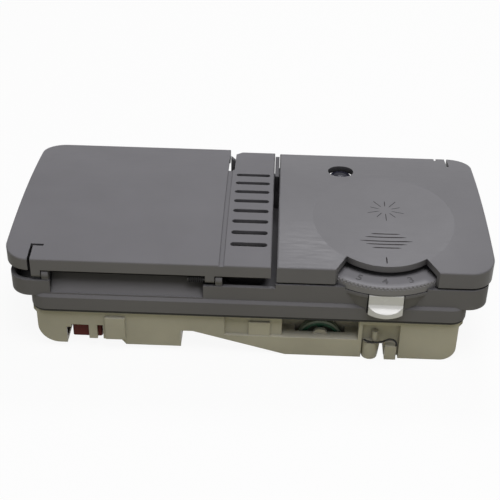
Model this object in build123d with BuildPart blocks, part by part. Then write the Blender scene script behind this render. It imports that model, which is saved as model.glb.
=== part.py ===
from build123d import *
import os
from math import asin, atan2, cos, degrees, radians, sin, sqrt

# Detergent and rinse-aid dispenser of a dishwasher door, lying on its back with its lids up.
# X runs from the detergent lid to the rinse-aid cover, Y from the front to the back.

# Heights of the stack, from the resting face up
housing_h = 24.6
gasket_t = 1.4
band_h = 7.5
flange_h = 12.0
rim_gap = 0.9

# Fascia, the lid and the cover together
length = 250.0
depth = 117.8
crown = 4.4
corner_r = 13.0
skirt_t = 2.2
edge_round = 0.7
overcut = 1.0

# Detergent lid
lid_right = 11.4
lid_overhang = 4.5
lid_skirt = 6.7
lid_t = 2.2
strip_w = 26.4
strip_back = 0.9
groove_w = 2.6
groove_depth = 0.6
slit_w = 3.6
slit_depth = 27.0
flap_chamfer = 4.0
guide_drop = 1.8
guide_slope = 2.4
guide_w = 2.6
guide_d = 3.0
guide_from_back = 0.8
slot_count = 8
slot_pitch = 9.8
slot_length = 19.0
slot_w = 3.1
slot_inset = 51.2
finger_slit_w = 1.4
finger_slit_depth = 12.0

# Rinse-aid cover
cover_gap = 2.9
cover_skirt = 9.1
cover_t = 3.6
window_from_side = 34.8
window_from_back = 23.4
window_r = 7.2
dish_half_width = 36.0
dish_depth = 2.1
dish_from_dial = 8.8
fan_r = 32.6
fan_half = 20.3
fan_mouth = 26.1

# Dose dial and filler neck
dial_from_right = 54.9
dial_from_front = 36.1
dial_r = 41.5
dial_t = 4.8
dial_top_drop = 6.4
dial_web_t = 2.0
dial_rim_w = 6.0
dial_hub_w = 3.0
knurl_count = 120
knurl_r = 0.6
knurl_h = 1.5
neck_r = 20.0
neck_bore_r = 17.0
neck_drop = 3.6
dial_clear = 0.3
tray_t = 2.0

# Hinges of the lid and the cover
hinge_inset = 2.0
hinge_drop = 2.9
ear_r = 2.6
lug_r = 2.0
pin_r = 1.2
pin_clear = 0.05
ear_w = 3.4
lug_w = 4.8
side_clear = 0.5
spindle_l = 9.0
lid_spring_r = 1.75
lid_spring_turns = 8
lug_from_end = 14.2
lid_inner_lug = 7.0
cover_inner_lug = 17.7
ear_leg = 4.2
rim_clear = 0.9

# Front body
wall_t = 2.2
floor_t = 2.2
flange_inset = 1.6
flange_proud = 0.6
flange_r = 11.0
band_inset = 11.8
band_proud = 2.1
band_r = 9.0
band_chamfer = 1.4
cove_lip = 1.6
cove_run = 8.0
cup_left = 21.0
cup_gap = 7.0
cup_front = 12.9
cup_back = 8.9
cup_r = 12.0
cup_drop = 4.0
cup_deep = 30.0
cup_wall = 2.0
cup_taper = 2.0
rear_rim_drop = 1.4
prewash_w = 20.9
prewash_back = 27.9
prewash_deep = 14.5
prewash_r = 4.0
bulge_h = 16.0
bulge_taper = 12.5
bulge_back = 8.0
web_clear = 0.3
web_l = 28.9
web_drop = 2.0

# Release tab
tab_w = 17.6
tab_t = 2.0
tab_clear = 0.5
tab_drop = 0.3
tab_face = 0.6
lip_reach = 9.1
lip_t = 3.2
lip_drop = 8.7
lip_edge = 2.6
lip_shoulder = 0.5
tab_pocket = 8.2
tab_spring_r = 2.2
tab_spring_turns = 4
spring_wire_r = 0.35
spring_clear = 0.2

# Seals
seal_w = 3.0
seal_t = 2.4
seal_clear = 0.3
filler_seal_r = 18.6
filler_seal_t = 1.6

# Sight glass
lens_r = 6.0
lens_wall = 1.2
lens_rise = 1.0
lens_seat_drop = 3.5
lens_dome = 1.4

# Rear housing
housing_left = 15.0
housing_right = 15.5
housing_inset = 0.1
housing_wall = 2.0
leg_r = 11.0
leg_lift = 3.0
wall_end = -35.0
step_end = -28.6
slope_end = 20.0
box_r = 8.0
recess_left = 18.0
recess_right = 60.0
recess_step_left = -12.0
recess_step_d = 1.6
recess_depth = 11.0
shelf_z = 11.5
partition_x = 18.0
bay_left = 29.8
bay_right = 50.5
bay_depth = 26.0
bay_lift = 6.2
bay_notch_w = 2.8
bay_notch_top = 13.2
clip_right = 61.0
clip_bevel = 2.4
clip_cut_d = 5.0
clip_low = 7.2
clip_top = 21.0
clip_proud = 1.6
tower_from_end = 22.0
tower_from_edge = 5.4
tower_r = 4.2
snap_from_front = 4.6
snap_w = 6.0
snap_proud = 2.6
snap_h = 9.0
snap_lip = 3.6
boss_left = 0.6
boss_w = 11.2
boss_h = 8.6
boss_inset = 0.4
red_window_w = 9.0
black_window_w = 3.1
black_window_edge = 1.4

# Underside of the housing: weld groove of the tank and ribs of the mechanism half
weld_inset = 5.0
weld_r = 5.0
weld_w = 1.4
weld_depth = 0.7
rib_count = 4
rib_pitch = 8.4
rib_w = 1.4
rib_h = 1.2
rib_end = 9.0

# Screws
screw_r = 1.3
screw_head_r = 3.0
screw_head_h = 2.2
screw_seat = 12.0
screw_grip = 6.0
screw_clear = 0.1

# Actuator and its linkage
actuator_w = 15.6
actuator_d = 22.0
actuator_h = 8.8
actuator_foot = 8.0
actuator_foot_t = 1.8
actuator_round = 1.2
terminal_w = 4.8
terminal_t = 0.8
terminal_reach = 8.0
terminal_pitch = 7.6
plunger_r = 2.4
plunger_reach = 12.0
plunger_inset = 6.7
lever_t = 2.6
lever_clear = 0.9
lever_lift = 0.7
lever_x = -32.0
lever_hub_r = 5.0
lever_arm_w = 6.0
lever_finger = 4.0
lever_tip_drop = 3.2
lever_pin_r = 2.0
latch_x = -4.0
latch_from_back = 6.9
latch_w = 4.0
latch_d = 4.0
latch_nose = 3.0
latch_drop = 7.5
latch_slope = 1.5
latch_foot = 1.0
latch_travel = 5.2
latch_post_w = 2.0
latch_post_h = 6.3
latch_spring_turns = 6
latch_spring_r = 1.7
striker_w = 3.0
move_clear = 0.3

# Dosing cam and valve
cam_x = 38.2
cam_z = 5.4
cam_r = 12.2
cam_t = 3.0
cam_hub_r = 2.6
cam_pin_r = 1.6
cam_arc = 150.0
cam_band = 3.0
cam_gap = 1.0
bearing_r = 4.0
bearing_drop = 1.1
bearing_t = 2.2
valve_x = 44.4
valve_z = 14.0
valve_r = 1.5
valve_head_r = 3.6
valve_head_t = 1.6
valve_seal_t = 1.2
valve_spring_r = 2.4
valve_spring_l = 8.0
valve_spring_turns = 5
retainer_w = 8.0
retainer_h = 20.0

# Wire spring round its peg, over a half-round column and a foot
peg_left = 60.0
peg_right = 79.6
peg_recess_top = 21.6
peg_recess_d = 2.6
column_r = 4.2
column_h = 10.4
peg_shift = 2.1
peg_r = 1.6
peg_h = 6.8
foot_from_right = 1.2
foot_w = 6.0
foot_h = 8.8
foot_d = 4.0
notch_w = 3.4
notch_h = 7.7
notch_d = 12.0
wire_r = 0.5
wire_half = 6.0
wire_sag = 1.8
wire_tail = 5.4

# Levels and edges worked out from the sizes above
band_z = housing_h + gasket_t
flange_z = band_z + band_h
rim_z = flange_z + flange_h
cover_low = rim_z + rim_gap
edge_z = cover_low + cover_skirt
lid_low = edge_z - lid_skirt
mid_y = (lip_reach - lid_overhang) / 2
front = mid_y - depth / 2
back = mid_y + depth / 2
left = -length / 2
right = length / 2
cover_left = lid_right + cover_gap
lid_back = back + lid_overhang
strip_left = lid_right - strip_w
arch_r = (depth ** 2 / 4 + crown ** 2) / (2 * crown)
arch_z = edge_z + crown - arch_r
lid_axis = (front + hinge_inset, lid_low - hinge_drop)
cover_axis = (back - hinge_inset, cover_low - hinge_drop)
lid_rim = lid_axis[1] - lug_r - rim_clear
cover_rim = cover_axis[1] - lug_r - rim_clear
cup_rim = edge_z - cup_drop
lever_z = cup_rim - cup_deep - cup_wall - lever_clear - lever_t
step_lift = lever_z - lever_lift - housing_wall
plunger_z = bay_lift + actuator_h / 2
latch_mid = back - latch_from_back
neck_top = edge_z - neck_drop
dial_top = edge_z - dial_top_drop
dial_low = dial_top - dial_t
tray_top = dial_low - dial_clear
tray_r = dial_r + dial_clear
dial_x = right - dial_from_right
dial_mid = (dial_x, front + dial_from_front)
dish_y = dial_mid[1] + dish_from_dial - mid_y
window = (cover_left + window_from_side, back - window_from_back)
lens_top = edge_z + lens_rise
tower_spots = [
    (x, y)
    for x in (left + tower_from_end, right - tower_from_end)
    for y in (front + tower_from_edge, back - tower_from_edge)
]
flange_front = front - flange_proud
flange_back = back + flange_proud
band_front = front - band_proud
band_back = back + band_proud
floor_top = flange_z + floor_t
above = edge_z + crown + overcut


def span(limits):
    """Middle and size between two limits."""
    return (limits[0] + limits[1]) / 2, limits[1] - limits[0]


def block(x_limits, y_limits, z_limits, mode=Mode.ADD):
    """Straight block between three pairs of limits."""
    x, x_size = span(x_limits)
    y, y_size = span(y_limits)
    z, z_size = span(z_limits)
    with Locations((x, y, z)):
        Box(x_size, y_size, z_size, mode=mode)


def plan(x_limits, y_limits, radius=0.0):
    """Flat rectangle between limits, with rounded corners."""
    x, x_size = span(x_limits)
    y, y_size = span(y_limits)
    with BuildSketch() as flat:
        with Locations((x, y)):
            if radius > 0:
                RectangleRounded(x_size, y_size, radius)
            else:
                Rectangle(x_size, y_size)
    return flat.sketch


def ring_plan(x_limits, y_limits, radius, width):
    """Flat ring, its outer edge between limits."""
    x, x_size = span(x_limits)
    y, y_size = span(y_limits)
    with BuildSketch() as flat:
        with Locations((x, y)):
            RectangleRounded(x_size, y_size, radius)
            RectangleRounded(x_size - 2 * width, y_size - 2 * width, radius - width, mode=Mode.SUBTRACT)
    return flat.sketch


def inset(outline, amount):
    """The outline drawn in by an amount all round."""
    with BuildSketch() as flat:
        add(outline)
        offset(amount=-amount, kind=Kind.INTERSECTION, mode=Mode.REPLACE)
    return flat.sketch


def upright(outline, low, high):
    """Straight prism of a plan outline between two heights."""
    with BuildPart() as prism:
        with BuildSketch(Plane.XY.offset(low)):
            add(outline)
        extrude(amount=high - low)
    return prism.part


def under_arch(outline, low, drop=0.0):
    """Prism of a plan outline that ends a drop below the arched top."""
    with BuildPart() as slab:
        add(upright(outline, low, above))
        with BuildSketch(Plane.YZ.offset(-length)):
            with Locations((mid_y, arch_z)):
                Circle(arch_r - drop)
        extrude(amount=2 * length, mode=Mode.INTERSECT)
    return slab.part


def arched_panel(outline, low):
    """Prism under the arch with its top edges rounded."""
    with BuildPart() as panel:
        add(under_arch(outline, low))
        fillet(panel.faces().sort_by(Axis.Z)[-1].edges(), edge_round)
    return panel.part


def over_arch(outline, drop):
    """Prism of a plan outline that starts a drop below the arched top."""
    with BuildPart() as skin:
        add(upright(outline, edge_z - corner_r, above))
        with BuildSketch(Plane.YZ.offset(-length)):
            with Locations((mid_y, arch_z)):
                Circle(arch_r - drop)
        extrude(amount=2 * length, mode=Mode.SUBTRACT)
    return skin.part


def hinge_ear(x, axis, base):
    """Upright ear of the body with a bearing hole, seen along X."""
    with BuildPart() as ear:
        with BuildSketch(Plane.YZ.offset(x)):
            with Locations(axis):
                Circle(ear_r)
            with Locations((axis[0], (axis[1] + base) / 2)):
                Rectangle(ear_leg, axis[1] - base)
            with Locations(axis):
                Circle(pin_r + pin_clear, mode=Mode.SUBTRACT)
        extrude(amount=ear_w)
    return ear.part


def hinge_lug(x, axis, top, pin_side, spindle=0.0):
    """Hanging lug of a lid, with its pin towards pin_side (1 right, -1 left) and a spindle behind it."""
    with BuildPart() as lug:
        with BuildSketch(Plane.YZ.offset(x)):
            with Locations(axis):
                Circle(lug_r)
            with Locations((axis[0], (axis[1] + top) / 2)):
                Rectangle(2 * lug_r, top - axis[1])
        extrude(amount=lug_w)
        with BuildSketch(Plane.YZ.offset(x + lug_w / 2)):
            with Locations(axis):
                Circle(pin_r)
        extrude(amount=pin_side * (lug_w / 2 + side_clear + ear_w))
        if spindle > 0:
            with BuildSketch(Plane.YZ.offset(x + lug_w / 2)):
                with Locations(axis):
                    Circle(pin_r)
            extrude(amount=-pin_side * (lug_w / 2 + spindle))
    return lug.part


def coil(centre, direction, radius, wire, turns, height):
    """Round-wire compression spring that starts at centre and runs along direction."""
    with BuildPart() as spring:
        with BuildLine():
            helix = Helix(height / turns, height, radius, center=centre, direction=direction)
        with BuildSketch(Plane(helix @ 0, z_dir=helix % 0)):
            Circle(wire)
        sweep(is_frenet=True)
    return spring.part


# Detergent lid: arched panel with a slotted strip, on two hinge lugs
with BuildSketch() as lid_outline:
    add(plan((left, strip_left), (front, lid_back)))
    fillet(lid_outline.vertices().group_by(Axis.X)[0], corner_r)
    add(plan((strip_left, lid_right), (front, back + strip_back)))
lid_lug_left = left + lug_from_end
lid_lug_right = strip_left - lid_inner_lug
lid_ring = ((left + cup_left, strip_left - cup_gap), (front + cup_front, back - cup_back))
with BuildPart() as detergent_lid:
    add(arched_panel(lid_outline.sketch, lid_low))
    add(under_arch(inset(lid_outline.sketch, skirt_t), lid_low, lid_t), mode=Mode.SUBTRACT)
    add(under_arch(ring_plan(*lid_ring, cup_r, seal_w), cup_rim + seal_clear + seal_t, lid_t / 2))
    slit_front = back + strip_back - slit_depth
    groove = plan((strip_left, strip_left + groove_w), (front - overcut, slit_front + overcut))
    add(over_arch(groove, groove_depth), mode=Mode.SUBTRACT)
    slit = plan((strip_left, strip_left + slit_w), (slit_front, lid_back + overcut))
    add(upright(slit, lid_low, above), mode=Mode.SUBTRACT)
    with BuildSketch(Plane.XY.offset(lid_low)):
        with BuildLine():
            flap_x = strip_left + slit_w
            Polyline(
                (flap_x - overcut, back + strip_back + overcut),
                (flap_x + flap_chamfer, back + strip_back + overcut),
                (flap_x + flap_chamfer, back + strip_back),
                (flap_x, back + strip_back - flap_chamfer),
                (flap_x - overcut, back + strip_back - flap_chamfer),
                close=True,
            )
        make_face()
    extrude(amount=above - lid_low, mode=Mode.SUBTRACT)
    slot_x = (strip_left + slit_w + lid_right) / 2 - side_clear
    with BuildSketch(Plane.XY.offset(lid_low + skirt_t)):
        with Locations((slot_x, front + slot_inset)):
            with GridLocations(slot_pitch, slot_pitch, 1, slot_count):
                SlotOverall(slot_length, slot_w)
    extrude(amount=above - lid_low, mode=Mode.SUBTRACT)
    finger_x = lid_lug_left - finger_slit_w
    long_arm = plan((finger_x, lid_lug_left), (front - overcut, front + finger_slit_depth))
    cross_arm = plan(
        (finger_x, lid_lug_left + lug_w + side_clear),
        (front + finger_slit_depth - finger_slit_w, front + finger_slit_depth),
    )
    add(upright(long_arm, lid_low - overcut, above), mode=Mode.SUBTRACT)
    add(upright(cross_arm, lid_low - overcut, above), mode=Mode.SUBTRACT)
    add(hinge_lug(lid_lug_left, lid_axis, edge_z - lid_t / 2, 1))
    add(hinge_lug(lid_lug_right, lid_axis, edge_z - lid_t / 2, 1, spindle_l))
    striker_x = latch_x + latch_w / 2 + latch_nose + move_clear
    striker = plan(
        (striker_x, striker_x + striker_w),
        (latch_mid - latch_d, latch_mid + latch_d / 2),
    )
    add(under_arch(striker, edge_z - latch_drop - overcut, lid_t / 2))
detergent_lid.part.label = "detergent_lid"

# Rubber seal under the lid, over the rim of the main cup
with BuildPart() as lid_seal:
    add(upright(ring_plan(*lid_ring, cup_r, seal_w), cup_rim + seal_clear, cup_rim + seal_clear + seal_t))
lid_seal.part.label = "lid_seal"

# Rinse-aid cover: arched panel with a scooped dish, a sight hole and a fan-shaped dial cut-out
with BuildSketch() as cover_outline:
    add(plan((cover_left, right), (front, back)))
    fillet(cover_outline.vertices().group_by(Axis.X)[-1], corner_r)
scoop_r = (dish_half_width ** 2 + dish_depth ** 2) / (2 * dish_depth)
scoop_top = edge_z + crown - dish_y ** 2 / (2 * arch_r) - dish_depth
scoop_tilt = degrees(asin(dish_y / arch_r))
scoop_plane = Plane((dial_x, mid_y + dish_y, scoop_top + scoop_r), x_dir=(1, 0, 0), z_dir=(0, -1, 0))
cover_lug_right = right - lug_from_end - lug_w
cover_lug_left = cover_left + cover_inner_lug
with BuildPart() as rinse_cover:
    add(arched_panel(cover_outline.sketch, cover_low))
    add(under_arch(inset(cover_outline.sketch, skirt_t), cover_low, cover_t), mode=Mode.SUBTRACT)
    with BuildSketch(scoop_plane.rotated((-scoop_tilt, 0, 0))):
        Circle(scoop_r)
    extrude(amount=depth, both=True, mode=Mode.SUBTRACT)
    with Locations((*window, edge_z)):
        Cylinder(window_r, 4 * cover_t, mode=Mode.SUBTRACT)
    with BuildSketch(Plane.XY.offset(cover_low)):
        fan_y = dial_mid[1] - sqrt(fan_r ** 2 - fan_half ** 2)
        with BuildLine():
            ThreePointArc(
                (dial_x - fan_half, fan_y),
                (dial_x, dial_mid[1] - fan_r),
                (dial_x + fan_half, fan_y),
            )
            Polyline(
                (dial_x + fan_half, fan_y),
                (dial_x + fan_mouth, front),
                (dial_x + fan_mouth, front - overcut),
                (dial_x - fan_mouth, front - overcut),
                (dial_x - fan_mouth, front),
                (dial_x - fan_half, fan_y),
            )
        make_face()
    extrude(amount=above - cover_low, mode=Mode.SUBTRACT)
    finger_slot = plan(
        (cover_lug_right + lug_w, cover_lug_right + lug_w + finger_slit_w),
        (back - finger_slit_depth, back + overcut),
    )
    add(upright(finger_slot, cover_low - overcut, above), mode=Mode.SUBTRACT)
    nick = plan(
        (cover_lug_right - finger_slit_w, cover_lug_right),
        (back - skirt_t - overcut, back + overcut),
    )
    add(upright(nick, cover_low - overcut, above), mode=Mode.SUBTRACT)
    add(hinge_lug(cover_lug_right, cover_axis, edge_z - cover_t / 2, 1))
    add(hinge_lug(cover_lug_left, cover_axis, edge_z - cover_t / 2, -1))
    boss_low = neck_top + seal_clear + filler_seal_t
    with BuildSketch(Plane.XY.offset(boss_low)):
        with Locations(dial_mid):
            Circle(neck_bore_r - seal_w)
            Circle(neck_bore_r - 2 * seal_w, mode=Mode.SUBTRACT)
    extrude(until=Until.NEXT)
rinse_cover.part.label = "rinse_cover"

# Flat filler seal on the cover's boss, over the rim of the neck
with BuildPart() as filler_seal:
    with BuildSketch(Plane.XY.offset(neck_top + seal_clear)):
        with Locations(dial_mid):
            Circle(filler_seal_r)
    extrude(amount=filler_seal_t)
filler_seal.part.label = "filler_seal"

# Dose dial: knurled ring that turns round the filler neck
with BuildPart() as dose_dial:
    with BuildSketch(Plane.XZ) as dial_section:
        hub_in = neck_r + dial_clear
        rim_in = dial_r - dial_rim_w
        with Locations((hub_in, dial_low)):
            Rectangle(dial_hub_w, dial_t, align=(Align.MIN, Align.MIN))
        with Locations((rim_in, dial_low)):
            Rectangle(dial_rim_w, dial_t, align=(Align.MIN, Align.MIN))
        with Locations((hub_in, dial_top - dial_web_t)):
            Rectangle(rim_in - hub_in, dial_web_t, align=(Align.MIN, Align.MIN))
    revolve(axis=Axis.Z)
    chamfer(dose_dial.edges().group_by(Axis.Z)[-1].sort_by(SortBy.LENGTH)[-1], edge_round)
    with BuildSketch(Plane.XY.offset(dial_top - knurl_h)):
        with PolarLocations(dial_r + knurl_r / 4, knurl_count):
            Circle(knurl_r)
    extrude(amount=knurl_h, mode=Mode.SUBTRACT)
dose_dial.part = dose_dial.part.moved(Location((*dial_mid, 0)))
dose_dial.part.label = "dose_dial"

# Front body: flange, lower band, two cups, filler neck and dial tray in one moulding
with BuildPart() as band_part:
    band_plan = plan((left + band_inset, right - band_inset), (band_front, band_back), band_r)
    add(upright(band_plan, band_z, flange_z + band_chamfer))
    chamfer(band_part.edges().group_by(Axis.Z)[-1], band_chamfer)
    add(upright(inset(band_plan, 2 * wall_t), band_z, flange_z), mode=Mode.SUBTRACT)

flange_plan = plan((left + flange_inset, right - flange_inset), (flange_front, flange_back), flange_r)
prewash_x = (lid_right - skirt_t - side_clear - prewash_w, lid_right - skirt_t - side_clear)
prewash_y = (front + cup_front, back - prewash_back)
tab_x = (dial_x - tab_w / 2, dial_x + tab_w / 2)
bulge_front = dial_mid[1] - tray_r
tab_top = tray_top - tab_drop
lip_z = tab_top - lip_drop
with BuildPart() as front_body:
    add(upright(flange_plan, flange_z, rim_z))
    add(upright(inset(flange_plan, wall_t), floor_top, rim_z), mode=Mode.SUBTRACT)
    add(band_part.part)
    lid_side = plan((left - overcut, cover_left - web_clear), (band_front - overcut, band_back + overcut))
    add(upright(lid_side, lid_rim, above), mode=Mode.SUBTRACT)
    rear_y = (flange_back - 2 * wall_t, band_back + overcut)
    rear_rim = plan((left - overcut, cover_left - web_clear), rear_y)
    add(upright(rear_rim, lid_rim - rear_rim_drop, above), mode=Mode.SUBTRACT)
    cover_back = plan((cover_left, right + overcut), (cover_axis[0] - 2 * ear_r, band_back + overcut))
    add(upright(cover_back, cover_rim, above), mode=Mode.SUBTRACT)
    cove_x = (lid_lug_left + lug_w + ear_w + 2 * side_clear, lid_lug_right - 2 * side_clear)
    cove_y = (flange_front, front + cup_front + cup_wall / 2)
    add(upright(plan(cove_x, (band_front - overcut, cove_y[1])), floor_top, above), mode=Mode.SUBTRACT)
    with BuildSketch(Plane.YZ.offset(cove_x[0])):
        with BuildLine():
            Polyline(
                (cove_y[0], flange_z),
                (cove_y[0], flange_z + cove_lip),
                (cove_y[0] + cove_run, lid_rim),
                (cove_y[1], lid_rim),
                (cove_y[1], lid_rim - wall_t),
                (cove_y[0] + cove_run + wall_t / 2, lid_rim - wall_t),
                (cove_y[0] + wall_t, flange_z),
                close=True,
            )
        make_face()
    extrude(amount=cove_x[1] - cove_x[0])
    with BuildSketch(Plane.XY.offset(tray_top)):
        with Locations(dial_mid):
            Circle(tray_r)
        with Locations((dial_x, bulge_front)):
            Rectangle(2 * tray_r, 2 * (flange_front + bulge_back - bulge_front), mode=Mode.INTERSECT)
    extrude(amount=-bulge_h, taper=bulge_taper)
    with BuildSketch(Plane.XY.offset(tray_top - tray_t)):
        with Locations(dial_mid):
            Circle(tray_r)
    extrude(amount=tray_t)
    with BuildSketch(Plane.XY.offset(tray_top)):
        with Locations(dial_mid):
            Circle(tray_r + dial_clear)
    extrude(amount=above - tray_top, mode=Mode.SUBTRACT)
    with BuildSketch(Plane.XY.offset(flange_z)):
        with Locations(dial_mid):
            Circle(neck_r)
    extrude(amount=neck_top - flange_z)
    with Locations((*dial_mid, flange_z)):
        Cylinder(neck_bore_r, 4 * (neck_top - flange_z), mode=Mode.SUBTRACT)
    add(upright(plan(*lid_ring, cup_r), cup_rim - cup_deep, cup_rim))
    with BuildSketch(Plane.XY.offset(cup_rim)):
        add(inset(plan(*lid_ring, cup_r), cup_wall))
    extrude(amount=-cup_deep, taper=cup_taper, mode=Mode.SUBTRACT)
    add(upright(plan(prewash_x, prewash_y, prewash_r), flange_z, cup_rim))
    with BuildSketch(Plane.XY.offset(cup_rim)):
        add(inset(plan(prewash_x, prewash_y, prewash_r), cup_wall))
    extrude(amount=-prewash_deep, taper=cup_taper, mode=Mode.SUBTRACT)
    web = plan((lid_right + web_clear, cover_left - web_clear), (back - web_l, back))
    add(under_arch(web, flange_z, web_drop))
    add(hinge_ear(lid_lug_left + lug_w + side_clear, lid_axis, lid_rim - wall_t))
    add(hinge_ear(lid_lug_right + lug_w + side_clear, lid_axis, lid_rim - wall_t))
    add(hinge_ear(cover_lug_right + lug_w + side_clear, cover_axis, cover_rim - wall_t))
    add(hinge_ear(cover_lug_left - side_clear - ear_w, cover_axis, cover_rim - wall_t))
    block(
        (tab_x[0] - tab_clear, tab_x[1] + tab_clear),
        (bulge_front - overcut, bulge_front + tab_pocket),
        (lip_z - lip_t - 2 * tab_clear, tray_top + overcut),
        mode=Mode.SUBTRACT,
    )
    with BuildSketch(Plane.XY.offset(flange_z)):
        with Locations(window):
            Circle(lens_r + lens_wall)
    extrude(amount=edge_z - lens_seat_drop - flange_z)
    with Locations((*window, flange_z)):
        Cylinder(lens_r, 4 * (lens_top - flange_z), mode=Mode.SUBTRACT)
    latch_slot = plan(
        (latch_x - latch_w / 2 - latch_travel - tab_clear, latch_x + latch_w / 2 + tab_clear),
        (latch_mid - latch_d / 2 - tab_clear, latch_mid + latch_d / 2 + tab_clear),
    )
    add(upright(latch_slot, flange_z - overcut, floor_top + overcut), mode=Mode.SUBTRACT)
    post_right = latch_x - latch_w / 2 - latch_travel - 2 * lug_r
    block(
        (post_right - latch_post_w, post_right),
        (latch_mid - latch_d / 2, latch_mid + latch_d / 2),
        (flange_z, floor_top + latch_post_h),
    )
    guide_x = strip_left + side_clear
    with BuildSketch(Plane.XZ.offset(guide_from_back - back)):
        with BuildLine():
            Polyline(
                (guide_x, flange_z),
                (guide_x, edge_z - guide_drop),
                (guide_x + guide_w, edge_z - guide_drop - guide_slope),
                (guide_x + guide_w, flange_z),
                close=True,
            )
        make_face()
    extrude(amount=guide_d)
    with BuildSketch(Plane.XY.offset(band_z)):
        with Locations(*tower_spots):
            Circle(tower_r)
            Circle(screw_r + screw_clear / 2, mode=Mode.SUBTRACT)
    extrude(amount=flange_z - band_z)
front_body.part.label = "front_body"

# Floor plate welded under the walls of the main cup
with BuildPart() as cup_floor:
    add(upright(plan(*lid_ring, cup_r), cup_rim - cup_deep - cup_wall, cup_rim - cup_deep))
cup_floor.part.label = "cup_floor"

# Gasket between the front body and the rear housing
with BuildPart() as door_gasket:
    gasket_plan = inset(band_plan, edge_round / 2)
    add(upright(gasket_plan, housing_h, band_z))
    add(upright(inset(band_plan, 2 * wall_t + edge_round), housing_h, band_z), mode=Mode.SUBTRACT)
door_gasket.part.label = "door_gasket"

# Rear housing: its front profile carries the stepped legs, the wedge and the reservoir box
box_left = left + housing_left
box_right = right - housing_right
box_front = front - housing_inset
box_back = back + housing_inset
recess_x = (recess_left, recess_right)
bay_x = (left + bay_left, left + bay_right)
clip_end = left + clip_right
column_x = peg_left + column_r + side_clear
notch_x = (column_x + column_r + peg_right - foot_from_right - foot_w) / 2


def housing_profile(inside):
    """Front profile of the housing, drawn in by the wall thickness for its pocket."""
    wall = inside * housing_wall
    top = housing_h + inside * overcut
    with BuildSketch() as profile:
        with BuildLine():
            Polyline(
                (box_left + wall, leg_lift + leg_r),
                (box_left + wall, top),
                (box_right - wall, top),
                (box_right - wall, box_r),
            )
            RadiusArc((box_right - wall, box_r), (box_right - box_r, wall), box_r - wall)
            Polyline(
                (box_right - box_r, wall),
                (slope_end + wall / 4, wall),
                (step_end + wall / 4, step_lift + wall),
                (wall_end - wall, step_lift + wall),
                (wall_end - wall, leg_lift + wall),
                (box_left + leg_r, leg_lift + wall),
            )
            RadiusArc((box_left + leg_r, leg_lift + wall), (box_left + wall, leg_lift + leg_r), leg_r - wall)
        make_face()
    return profile.sketch


def front_to_back(profile, near, far):
    """Prism of a front profile between two places along Y."""
    with BuildPart() as prism:
        with BuildSketch(Plane.XZ.offset(-far)):
            add(profile)
        extrude(amount=far - near)
    return prism.part


with BuildPart() as housing_pocket:
    add(front_to_back(housing_profile(1), box_front + housing_wall, box_back - housing_wall))
    block(
        (recess_x[0] - housing_wall, recess_x[1] + housing_wall),
        (box_front, box_front + recess_depth + housing_wall),
        (shelf_z - housing_wall, above),
        mode=Mode.SUBTRACT,
    )
    block(
        recess_x,
        (box_front + recess_depth, box_front + recess_depth + housing_wall),
        (0, above),
        mode=Mode.SUBTRACT,
    )
    block(
        (partition_x, partition_x + housing_wall),
        (box_front + recess_depth, box_back),
        (0, above),
        mode=Mode.SUBTRACT,
    )
    block(
        (bay_x[1], clip_end),
        (box_front, box_front + clip_cut_d + housing_wall),
        (0, bay_lift + housing_wall / 2),
        mode=Mode.SUBTRACT,
    )
    block(
        (recess_step_left - housing_wall, recess_x[0]),
        (box_front, box_front + recess_step_d + housing_wall),
        (0, above),
        mode=Mode.SUBTRACT,
    )
    block(
        (notch_x - notch_w / 2 - housing_wall, notch_x + notch_w / 2 + housing_wall),
        (box_front, box_front + notch_d + housing_wall),
        (0, notch_h + housing_wall),
        mode=Mode.SUBTRACT,
    )

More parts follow.
